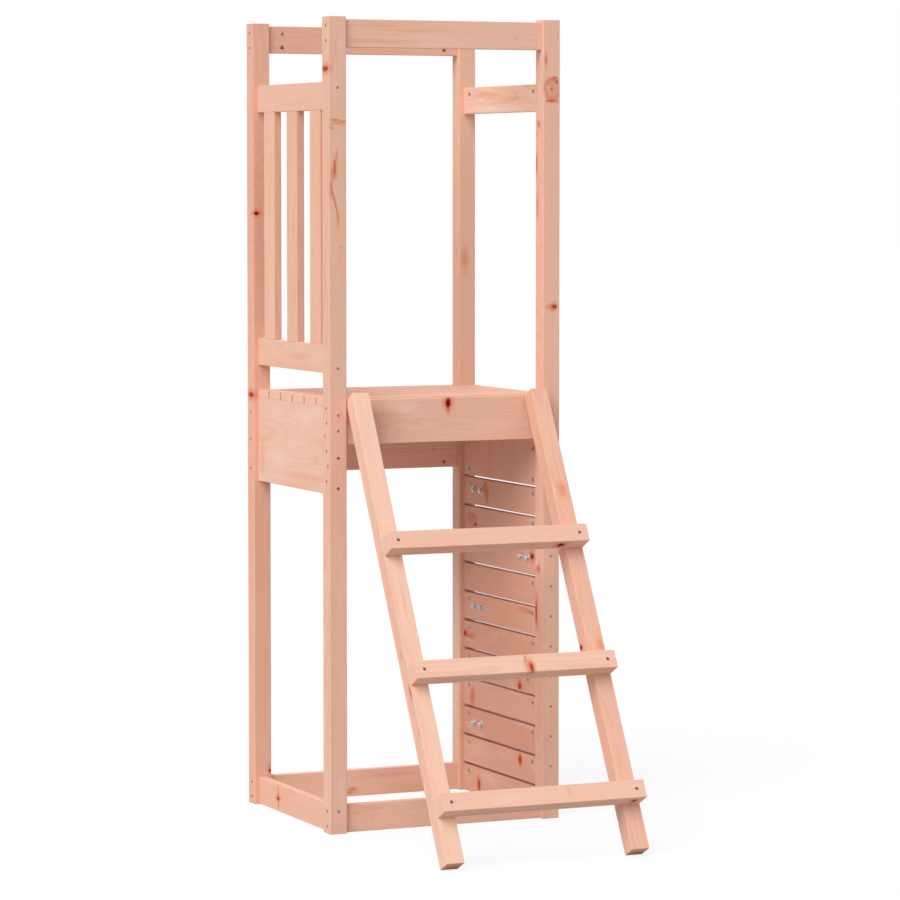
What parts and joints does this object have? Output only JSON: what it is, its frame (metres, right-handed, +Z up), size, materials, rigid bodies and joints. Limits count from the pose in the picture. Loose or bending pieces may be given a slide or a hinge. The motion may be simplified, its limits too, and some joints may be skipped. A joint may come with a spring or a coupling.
{
  "type": "wooden play tower",
  "caption": "Narrow softwood garden play tower with a raised deck, slatted side railing, plank climbing wall and leaning ladder, open under the deck.",
  "frame": {"origin": "on the ground, under the middle of the whole part's bounding box, ladder and climbing holds included", "axes": "+Z up; the ladder leans against the tower from the -Y side, which is the front; +X is to the right as seen from the ladder, with the climbing wall on +X and the slatted railing on -X"},
  "size_m": [0.5426, 0.9688, 1.69],
  "materials": {
    "posts": "planed softwood, bare and matt, with soft straight grain and small knots",
    "boards": "planed softwood, bare and matt, with soft straight grain and small knots",
    "ladder": "planed softwood, bare and matt, with soft straight grain and small knots",
    "hold_red": "moulded, gritty",
    "hold_yellow": "moulded, gritty",
    "hold_blue": "moulded, gritty",
    "hold_green": "moulded, gritty",
    "fasteners": "zinc-plated steel"
  },
  "bodies": {
    "root": {"post_front_left": "posts", "post_front_right": "posts", "post_back_left": "posts", "post_back_right": "posts", "top_rail_front": "boards", "top_rail_back": "boards", "railing_top_rail": "boards", "railing_bottom_rail": "boards", "railing_slat_1": "boards", "railing_slat_2": "boards", "railing_slat_3": "boards", "side_rail_right": "boards", "floor_board_1": "boards", "floor_board_2": "boards", "floor_board_3": "boards", "floor_board_4": "boards", "floor_board_5": "boards", "floor_board_6": "boards", "front_fascia": "boards", "back_apron": "boards", "side_apron_left": "boards", "side_apron_right": "boards", "wall_plank_1": "boards", "wall_plank_2": "boards", "wall_plank_3": "boards", "wall_plank_4": "boards", "wall_plank_5": "boards", "wall_plank_6": "boards", "wall_plank_7": "boards", "wall_plank_8": "boards", "wall_plank_9": "boards", "wall_plank_10": "boards", "wall_plank_11": "boards", "bottom_rail_left": "boards", "bottom_rail_front": "boards", "bottom_rail_back": "boards", "climbing_hold_1": "hold_red", "climbing_hold_2": "hold_yellow", "climbing_hold_3": "hold_blue", "climbing_hold_4": "hold_green", "climbing_hold_5": "hold_red", "ladder_rail_left": "ladder", "ladder_rail_right": "ladder", "ladder_rung_1": "ladder", "ladder_rung_2": "ladder", "ladder_rung_3": "ladder"}
  },
  "joints": []
}
